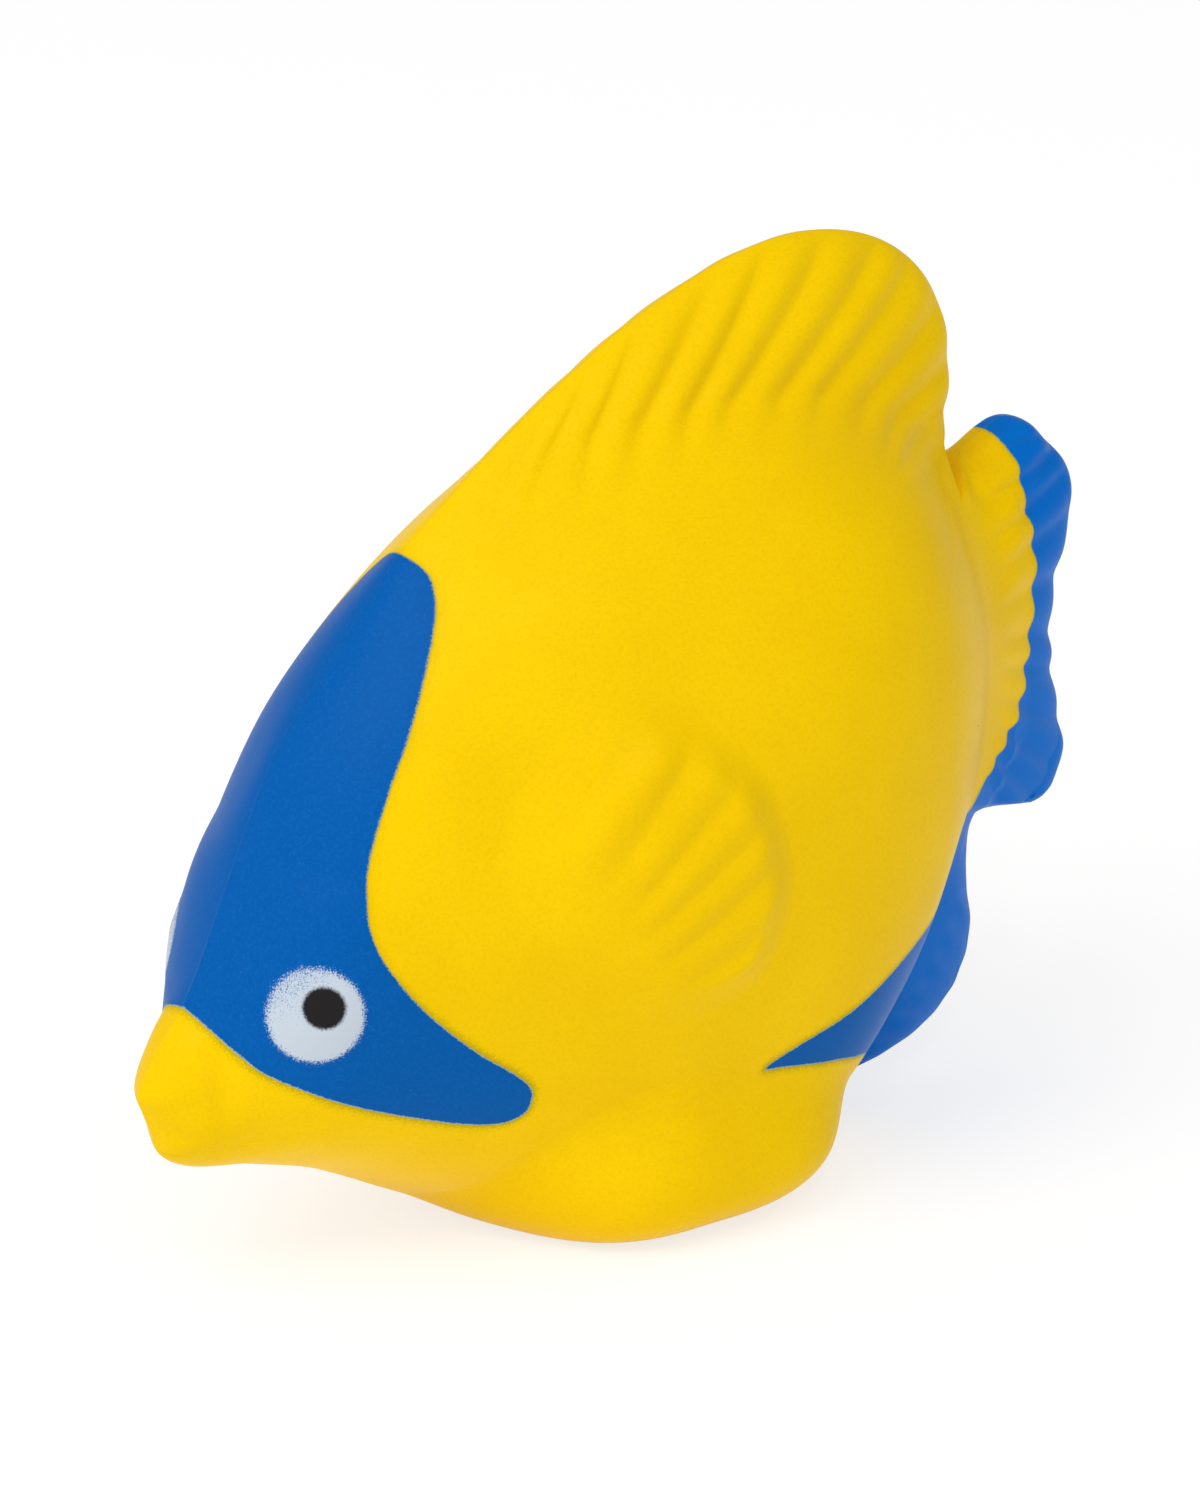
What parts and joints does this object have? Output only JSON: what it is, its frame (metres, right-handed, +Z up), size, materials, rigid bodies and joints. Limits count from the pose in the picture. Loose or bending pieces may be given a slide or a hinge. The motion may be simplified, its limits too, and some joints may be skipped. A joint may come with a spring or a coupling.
{
  "type": "squeeze toy",
  "caption": "Soft foam tropical fish for squeezing, with fins in relief, a painted mask and tail edge, and a flat foot to stand on.",
  "frame": {"origin": "middle of the bounding box, on the flat sole that the fish stands on", "axes": "+X towards the tail, +Y towards the fish's right side, +Z up"},
  "size_m": [0.0996, 0.0464, 0.0813],
  "materials": {
    "yellow_foam": "satin",
    "blue_coat": "satin",
    "white_coat": "satin",
    "black_coat": "satin"
  },
  "bodies": {
    "body": {"trunk": "yellow_foam", "pelvic_foot": "yellow_foam", "anal_fin": "blue_coat", "flank_foam_left": "yellow_foam", "flank_foam_right": "yellow_foam", "eye_left": "white_coat", "eye_right": "white_coat", "pupil_left": "black_coat", "pupil_right": "black_coat", "mask_coat_left": "blue_coat", "mask_coat_right": "blue_coat", "rear_coat_left": "blue_coat", "rear_coat_right": "blue_coat"},
    "left_flank": {"flank_left": "yellow_foam", "pectoral_fin_left": "yellow_foam"},
    "right_flank": {"flank_right": "yellow_foam", "pectoral_fin_right": "yellow_foam"},
    "tail": {"tail_fin": "yellow_foam", "tail_band_left": "blue_coat", "tail_band_right": "blue_coat"},
    "dorsal": {"dorsal_fin": "yellow_foam"}
  },
  "joints": [
    {"name": "squeeze_left", "type": "slide", "parent": "body", "child": "left_flank", "axis": [0, 1, 0], "range_m": [0, 0.0045], "stiffness_N_per_m": 2000, "deforming": ["flank_foam_left"]},
    {"name": "squeeze_right", "type": "slide", "parent": "body", "child": "right_flank", "axis": [0, -1, 0], "range_m": [0, 0.0045], "stiffness_N_per_m": 2000, "deforming": ["flank_foam_right"]},
    {"name": "tail_flex", "type": "hinge", "parent": "body", "child": "tail", "pos_m": [0.0379, 0, 0.041], "axis": [0, 0, 1], "range_deg": [-20, 20], "stiffness_Nm_per_rad": 0.005},
    {"name": "dorsal_flex", "type": "hinge", "parent": "body", "child": "dorsal", "pos_m": [0.01, 0, 0.067], "axis": [1, 0, 0], "range_deg": [-12, 12], "stiffness_Nm_per_rad": 0.015}
  ],
  "couplings": [
    {"joint": "squeeze_right", "follows": "squeeze_left", "ratio": 1}
  ]
}
